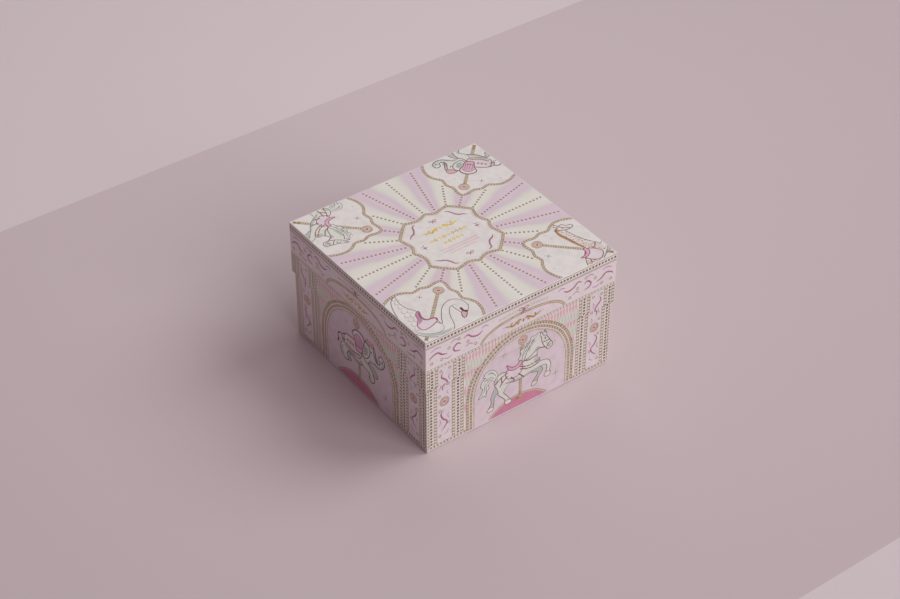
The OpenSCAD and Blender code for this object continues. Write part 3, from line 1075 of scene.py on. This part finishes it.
def column(pen):
    """The column at the right-hand end of a side: trims, bead strips, and a panel with ribbons."""
    low, high = FLOOR_LINE[1], RAIL[0]
    pen.block("cream", ARCH_R, PRINT_HALF, *FLOOR_LINE, 3)
    level_ladder(pen, ARCH_R, PRINT_HALF, FLOOR_LINE, 4)
    for middle in COLUMN_TRIMS:
        pen.block("cream", middle - TRIM_HALF, middle + TRIM_HALF, low, high, 0)
        pen.ladder([(middle, low), (middle, high)], TRIM_W, 1)
    for middle in COLUMN_BEADS:
        pen.block("cream", middle - STRIP_HALF, middle + STRIP_HALF, low, high, 0)
        for side in (-1.95, 1.95):
            pen.stroke("gilt_light", [(middle + side, low), (middle + side, high)], 0.3, 1)
        # No bead lies across the lower edge of the lid's skirt
        bead_row(pen, [(middle, low + 0.6), (middle, SKIRT - 0.9)], 1)
        bead_row(pen, [(middle, SKIRT + 0.7), (middle, high)], 1)
    left, right = COLUMN_PANEL
    pen.block("blush", left, right, low, high, 0)
    for x in (left, right):
        pen.stroke("gilt_light", [(x, low), (x, high)], 0.5, 1)
    medallion(pen, (80, 49.5), 4.7, 1)
    for points in ([(82.5, 84.5), (84.4, 79.5), (80.4, 75), (78.4, 70.5), (82, 66), (81.4, 61.8)],
                   [(80.2, 41.5), (83.6, 36.5), (81.4, 30.5), (77.6, 26.5), (79.4, 21.5), (83.6, 17.5)]):
        ribbon(pen, points, 1.615, 1)
    for points in ([(75.4, 80), (77, 76.4), (75.2, 72.8)], [(85.4, 70.5), (83.6, 66.8), (85.8, 63.4)],
                   [(75.6, 61.5), (77.4, 58.8), (75.6, 56.2)], [(85, 31), (84, 27), (86, 23.8)],
                   [(75, 35.4), (76.6, 32.4), (75.4, 29.4)], [(76, 17.6), (77.2, 14), (80.6, 12.4)]):
        pen.stroke("ribbon_light", curve(points), 0.9, 1, taper=0.8)
    for centre in ((75.8, 86.2), (84.8, 86), (76.4, 67.4), (85.2, 57), (84.6, 40.6), (75.9, 24.2),
                   (84.8, 12.6)):
        pen.ring("gilt", centre, 1.15, 0.6, 1)
    dots(pen, "mint", ((80.8, 88), (77.6, 63.4), (84.2, 74.6), (79.4, 57.6), (76.4, 45), (82.8, 22)), 0.7, 1)


def lozenges(pen):
    """Rows of tall rose and mint lozenges behind the arch, each row set between the next one's points."""
    wide, tall, rise = 3.3, 14.0, 9.2
    for row in range(7):
        middle = RAIL[0] - 4.6 - rise * row
        for number in range(-18, 18):
            x = wide * (number + 0.5 * (row % 2) + 0.25)
            if abs(x) < ARCH_BACK - 1.2 and math.hypot(x, middle - ARCH_MID) > ARCH_R - 6:
                lozenge = [(x, middle - tall / 2), (x + 0.36 * wide, middle),
                           (x, middle + tall / 2), (x - 0.36 * wide, middle)]
                pen.fill("mint" if row % 2 else "rose", lozenge, 1)


def ribbon_band(pen):
    """Ribbons, rings and specks beside the small arch, on the right-hand half of a side."""
    for points in ([(42, 108.6), (47, 106), (53, 107.4), (57.6, 111.2), (62, 109.4)],
                   [(64.5, 105.4), (68, 107.6), (72, 104.2), (70.4, 100.6), (64.6, 99)],
                   [(78, 102), (83.4, 103.6), (88, 107.4), (93.6, 106), (96.4, 103.4)]):
        ribbon(pen, points, 1.71, 1)
    for points in ([(36, 110.6), (40, 112.4), (44, 111)], [(73.4, 98.2), (78, 97), (82, 98.6)],
                   [(84, 111.6), (89.6, 112.8), (95, 110.8)], [(52, 99.4), (56, 101.4), (60.2, 99.4)],
                   [(67, 111.8), (71.4, 113), (75.2, 110.6)]):
        pen.stroke("ribbon_light", curve(points), 1.1, 1, taper=0.8)
    for centre in ((49.5, 98.2), (66.4, 111.6), (84, 98.4), (76.6, 107), (57.4, 104.4), (94, 98.6)):
        pen.ring("gilt", centre, 1.2, 0.6, 1)
    dots(pen, "mint", ((45.6, 101.6), (53, 112.4), (61.6, 96.4), (79, 111.8), (88.6, 100), (31.6, 112.6)),
         0.75, 1)
    for number in range(6):
        pearl = (7.6 + 3.3 * number, 111.6 - 0.1 * number ** 1.6)
        pen.dot("pearl", pearl, 1.05, 1, corners=10)
        pen.ring("gilt", pearl, 1.05, 0.28, 2)


def small_arch(pen):
    """The flattened double arch with an ornament in it, on the lid's skirt."""
    path = curve([(-44, 93.6), (-41, 97.6), (-35, 101.6), (-22, 105.4), (0, 107.2), (22, 105.4), (35, 101.6),
                  (41, 97.6), (44, 93.6)], steps=7)
    pen.fill("blush_light", path, 1)
    pen.stroke("gilt_light", path, 2.0, 2)
    for side in (-1.0, 1.0):
        pen.stroke("gilt", beside(path, side), 0.5, 3)
    flourish(pen.moved(0, 98.8), 19.5, 3, weight=1.9)
    bow(pen, (0, 110.6), 5.2, 2, "gilt")
    pen.stroke("ribbon", curve([(-1.6, 112.6), (0.8, 110), (-0.6, 106.2)]), 1.3, 4, taper=0.6)


def scene_in_arch(pen, animal, pole_foot, shift, scale):
    """The mound, the pole from its foot up, and the animal, shifted across and up."""
    pen.fill("lilac", arch(ARCH_FIELD), 3)
    wide, tall = MOUND
    radius = (wide ** 2 + tall ** 2) / (2 * tall)
    reach = math.degrees(math.asin(wide / radius))
    hill = arc((-2, FLOOR_LINE[0] + tall - radius), radius, 90 - reach, 90 + reach, 24)
    pen.fill("mound", hill, 5)
    pen.stroke("gilt_light", hill, 1.1, 6)
    for p, _ in spaced(beside(hill, -0.9), 1.5):
        pen.dot("gilt", p, 0.55, 7, corners=8)
    pen.fill("foil", curve([(-5.6, 9.4), (-3.8, 12), (-2, 13.8), (-0.2, 12), (1.6, 9.4), (-2, 10.6)],
                           closed=True), 8)
    pole(pen, pole_foot, MEDALLION_Z - 4.5, 8)
    medallion(pen, (0, MEDALLION_Z), 4.6, 7)
    for x, y in ((-18.5, 68), (38.5, 19.5)):
        pen.star("gilt", (x, y), 5.0, 5, waist=0.055)
    for x, y, size in ((36, 57, 2.6), (-40, 20, 2.2), (-29, 26, 1.4), (28, 72, 1.5)):
        pen.star("gilt_light", (x, y), size, 4)
    animal(pen.moved(*shift, scale), 11)


def side_pattern(pen, *scene_parts):
    """Everything printed on one side of the box; the rest of the arguments say what is in its arch."""
    full = PRINT_HALF
    pen.block("cream", -full, full, *BEAD_BAND, 0)
    for height in (BEAD_BAND[0], BEAD_BAND[1] - 0.2, RIBBON_TOP):
        pen.stroke("gilt", [(-full, height), (full, height)], 0.5, 1)
    bead_row(pen, [(-full, BEAD_LINE), (full, BEAD_LINE)], 1)
    pen.block("grey", -full, full, *GREY_LINE, 0)
    pen.block("cream", -full, full, *RAIL, 6)
    level_ladder(pen, -full, full, RAIL, 7, rung=0.6)
    pen.block("cream", -ARCH_BACK, ARCH_BACK, FLOOR_LINE[0], RAIL[0], 0)
    lozenges(pen)
    pen.fill("blush", arch(ARCH_R), 2)
    for middle, width in ((56.2, 2.4), (52.4, 1.9)):
        pen.stroke("gilt_light", arch(middle), width, 3)
        pen.ladder(arch(middle), width, 4)
    pen.stroke("gilt_light", arch(49.6), 1.3, 4)
    pen.stroke("gilt", arch(49.0), 0.3, 5)
    scene_in_arch(pen, *scene_parts)
    small_arch(pen)
    for half in (pen, pen.mirrored()):
        column(half)
        ribbon_band(half)


# ---------------------------------------------------------------------------------------------
# The printed pattern of the lid's top
# ---------------------------------------------------------------------------------------------
# A quarter of the plaque's outline, anticlockwise, and the left half of a corner's frame
PLAQUE = [(39.5, 0), (37, 5), (35.6, 10), (36.2, 15.5), (38.5, 22), (38.5, 22), (33, 28), (27.6, 33.4),
          (22, 38.5), (22, 38.5), (15.5, 37.2), (9.5, 35.6), (4, 37), (0, 38.7)]
CARTOUCHE = [(-44, 36), (-41.6, 43), (-38.4, 51), (-33, 57.6), (-27, 60.4), (-21, 61.6), (-18.2, 64.8),
             (-15.6, 68.4), (-10, 70.8), (-7.4, 73.4), (-4, 78), (0, 80.8), (0, 80.8)]


def rays(pen):
    """Rows of dots that run out from the plaque, along and between the soft rays."""
    for number in range(2 * RAYS):
        degrees = 180 / RAYS * number
        ray = pen.moved(0, 0, degrees=degrees)
        edge = 99 / max(abs(math.cos(math.radians(degrees))), abs(math.sin(math.radians(degrees))))
        start, reach = ((43, edge), (42, edge), (47, 74), (46, 60))[min(number % 6, 6 - number % 6)]
        for step in range(int((reach - start) / RAY_PITCH) + 1):
            ray.dot("gilt", (start + RAY_PITCH * step, 0), 1.0, 1, tall=1.1, corners=10)


def corner(pen, animal, shift, scale):
    """A lid corner: its frame, pole and animal. The pen's zero is the corner, its up the lid's middle."""
    frame_path = curve(CARTOUCHE + [(-x, y) for x, y in reversed(CARTOUCHE)], steps=4)
    pen.fill("pearl", frame_path + complexes([(60, 0), (-60, 0)]), 2)
    rope(pen, frame_path, 2.1, 3)
    pole(pen, 3, 63.6, 5)
    medallion(pen, (0, 68.2), 4.7, 6)
    pen.dot("gilt", (0, 5.4), 1.5, 7)
    pen.dot("gilt", (0, 8.6), 1.9, 7, tall=0.6)
    pen.star("gilt", (-14, 57), 3.6, 4, waist=0.09)
    pen.star("gilt_light", (10, 57.5), 2.2, 4)
    pen.star("gilt_light", (-30, 50), 1.8, 4)
    animal(pen.moved(0, shift, scale), 8)


def plaque(pen):
    """The centre plaque, with ribbons and an ornament."""
    path = curve([p * 1j ** turn for turn in range(4) for p in complexes(PLAQUE)[:-1]], closed=True, steps=4)
    pen.fill("pearl", path, 3)
    rope(pen, path, 2.2, 4, closed=True)
    pen.stroke("gilt_light", beside(path, 2.4, closed=True), 0.35, 4, closed=True)
    for half in (pen, pen.mirrored()):
        for way in (1, -1):
            ribbon(half, [(30.5, way * 17.6), (27.6, way * 20.6), (23.4, way * 22.6), (20.6, way * 27),
                          (19, way * 31), (15.4, way * 32.2)], 1.615, 4)
        half.star("ribbon", (27.4, 0.6), 3.4, 4, waist=0.16)
        half.stroke("ribbon_light", curve([(31, 2.6), (28, 3.4), (25.6, 5)]), 0.8, 4, taper=0.8)
    for centre in ((0, 27.4), (0, -26.6)):
        bow(pen, centre, 3.8, 4)
    flourish(pen.moved(0, 16), 18.6, 5, weight=2.1)
    for height, count in ((4.6, 9), (-3.2, 5)):
        for number in range(count):
            x = 4.4 * (number - (count - 1) / 2)
            rosette(pen, (x, height), 2.3 if number % 2 else 1.9, 5)
            if number < count - 1:
                pen.dot("foil", (x + 2.2, height), 0.55, 5, corners=8)
    for height, count in ((-10.6, 10), (-14, 10), (-17.4, 7)):
        for number in range(count):
            for way in (-1, 1):
                x = way * 1.9 * (number + 0.5)
                tick = curve([(x - 0.7, height - 0.8), (x - 0.1, height + 0.9), (x + 0.7, height - 0.5)],
                             steps=3)
                pen.stroke("rose_light", tick, 0.6, 5)


def top_pattern(pen):
    """Everything printed on the lid's top."""
    rays(pen)
    plaque(pen)
    corners = ((swan, 0, 1.0), (giraffe, 0, 1.0), (elephant, -8.6, 0.85), (horse, -8.6, 0.85))
    for number, (animal, shift, scale) in enumerate(corners):
        place = 1j ** number * complex(-LID_HALF, -LID_HALF)
        corner(pen.moved(place.real, place.imag, degrees=90 * number - 45), animal, shift, scale)


# ---------------------------------------------------------------------------------------------
# Putting the pieces together
# ---------------------------------------------------------------------------------------------
INK_MATERIALS = {"gilt": gilt_material("ink_gilt", INKS["gilt"], 0.15),
                 "gilt_light": gilt_material("ink_gilt_light", INKS["gilt_light"], 0.1),
                 "foil": foil_material()}
for name, colour in INKS.items():
    if name not in INK_MATERIALS:
        INK_MATERIALS[name] = ink_material("ink_" + name, colour)


def dress(piece, material, body=None):
    """Give a piece its only material and, where it is new, its body."""
    piece.data.materials.clear()
    piece.data.materials.append(material)
    if body:
        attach(piece, body)


lid_paper, base_paper = lid_wrap(), base_wrap()
dress(lid_paper, lid_paper_material(), "lid")
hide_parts("lid_wrap")
dress(base_paper, base_paper_material(), "base")
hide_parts("base_wrap")

# The way each side faces, its animal, the height of its pole's foot, and the animal's shift and scale
SIDES = (((0, -1), horse, 11, (0, 0), 1.0), ((1, 0), giraffe, 11, (-1, 19), 1.0),
         ((0, 1), swan, 14, (-1, 12.5), 1.04), ((-1, 0), elephant, 11, (0, 0), 1.0))
for (nx, ny), *scene_parts in SIDES:
    across = (-ny, nx, 0)
    lid_sheet = Sheet("lid", (nx * LID_HALF, ny * LID_HALF, 0), across, (0, 0, 1),
                      (-LID_PRINT, LID_PRINT, SKIRT + FOLD_R, TOP - 0.6))
    base_sheet = Sheet("base", (nx * BASE_HALF, ny * BASE_HALF, 0), across, (0, 0, 1),
                       (-BASE_PRINT, BASE_PRINT, FOOT + FOLD_R, RAIL[1]))
    side_pattern(Pen([lid_sheet, base_sheet]), *scene_parts)
top_sheet = Sheet("lid", (0, 0, TOP), (1, 0, 0), (0, 1, 0), (-TOP_PRINT, TOP_PRINT) * 2)
top_pattern(Pen([top_sheet]))

for (body, ink), layer in sorted(layers.items()):
    piece = mesh_object(f"{body}_{ink}", layer.verts, layer.faces)
    if any(layer.smooth):
        piece.data.polygons.foreach_set("use_smooth", layer.smooth)
    dress(piece, INK_MATERIALS[ink], body)

FINISHES = {"board": board_material(),
            "lining": plain_paper_material("lining_paper", (0.93, 0.925, 0.91), 1500.0),
            "corner_stay": plain_paper_material("kraft_tape", (0.66, 0.51, 0.35), 900.0),
            "bottom_sheet": plain_paper_material("bottom_paper", (0.90, 0.885, 0.86), 1200.0)}
for name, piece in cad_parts.items():
    for part_name, material in FINISHES.items():
        if part_name in name:
            dress(piece, material)


# ---------------------------------------------------------------------------------------------
# Floor, lights and camera
# ---------------------------------------------------------------------------------------------
def facing(azimuth, elevation):
    a, e = math.radians(azimuth), math.radians(elevation)
    return Vector((math.sin(a) * math.cos(e), -math.cos(a) * math.cos(e), math.sin(e)))


BOX_MIDDLE = Vector((0, 0, 0.06))


def area_light(name, azimuth, elevation, distance, size, power, colour):
    """A round soft light, turned to the middle of the box."""
    lamp = bpy.data.lights.new(name, "AREA")
    lamp.shape, lamp.size = "DISK", size
    lamp.energy, lamp.color = power, colour
    made = bpy.data.objects.new(name, lamp)
    made.location = BOX_MIDDLE + facing(azimuth, elevation) * distance
    made.rotation_euler = facing(azimuth, elevation).to_track_quat("Z", "Y").to_euler()
    bpy.context.scene.collection.objects.link(made)


# The card's two colours, each with a lighter copy for the painted pool of light behind the box
RUNNER, RUNNER_LIT = (0.795, 0.738, 0.750), (0.855, 0.800, 0.812)
BACKDROP, BACKDROP_LIT = (0.860, 0.818, 0.832), (0.900, 0.855, 0.870)
RUNNER_HALF, RUNNER_Y = 0.3965, -0.005    # half of the runner's width, and where its middle lies
# The painted pool of light is centred here
PAINTED_LIGHT_MIDDLE = (0.14, 0.36, 0.0)                  # middle of the paler patch behind the box
FLOOR_HALF = 6


def floor_material():
    """Matt mauve card: a runner under the box, on a paler sheet, with a painted pool of light behind the box.
    """
    n = Nodes("studio_floor")
    parts = n.node("ShaderNodeSeparateXYZ")
    n.link(n.place, parts.inputs[0])
    from_middle = n.maths("ABSOLUTE", n.maths("SUBTRACT", parts.outputs["Y"], RUNNER_Y))
    outside = n.maths("GREATER_THAN", from_middle, RUNNER_HALF)
    reach = n.node("ShaderNodeVectorMath", operation="DISTANCE")
    n.link(n.place, reach.inputs[0])
    reach.inputs[1].default_value = PAINTED_LIGHT_MIDDLE
    # Painted light: the card turns lighter towards that middle
    painted_light = n.spread(reach.outputs["Value"], 0.05, 0.8, 1.0, 0.0)
    runner = n.mix(painted_light, linear(RUNNER), linear(RUNNER_LIT))
    sheet = n.mix(painted_light, linear(BACKDROP), linear(BACKDROP_LIT))
    n.link(n.mix(outside, runner, sheet), n.shader.inputs["Base Color"])
    n.shader.inputs["Roughness"].default_value = 0.75
    n.shader.inputs["Specular IOR Level"].default_value = 0.15
    return n.material


floor_corners = [Vector((x, y, 0)) * FLOOR_HALF for x, y in ((-1, -1), (1, -1), (1, 1), (-1, 1))]
floor = mesh_object("studio_floor", floor_corners, [(0, 1, 2, 3)])
floor.data.materials.append(floor_material())

world = bpy.data.worlds.new("studio")
world.use_nodes = True
world.node_tree.nodes["Background"].inputs["Color"].default_value = (1.0, 0.70, 0.79, 1.0)
world.node_tree.nodes["Background"].inputs["Strength"].default_value = 0.15
bpy.context.scene.world = world
# Name, azimuth, elevation, distance and size in metres, power in watts, and colour
area_light("key", 70, 46, 10.0, 7.0, 485.0, (0.985, 1.0, 0.99))
area_light("fill", 8, 35, 8.0, 6.0, 283.0, (1.0, 0.965, 0.975))
area_light("sheen", 144, 39, 8.0, 6.0, 80.0, (1.0, 0.97, 0.92))

# The photo's camera: its direction, and its distance and aim in widths of the lid
VIEW = (-36.44, 39.17)
DISTANCE, AIM_UP, AIM_RIGHT = 9.156, 0.2127, -0.0072

scene = bpy.context.scene
scene.view_settings.view_transform = "Standard"
camera = bpy.data.objects.new("camera", bpy.data.cameras.new("camera"))
camera.data.lens = 82.4
back = facing(*VIEW)
right = Vector((0, 0, 1)).cross(back).normalized()
aim = back.cross(right) * AIM_UP + right * AIM_RIGHT
camera.location = (aim + back * DISTANCE) * 2 * LID_HALF * MM
camera.rotation_euler = back.to_track_quat("Z", "Y").to_euler()
scene.collection.objects.link(camera)
scene.camera = camera
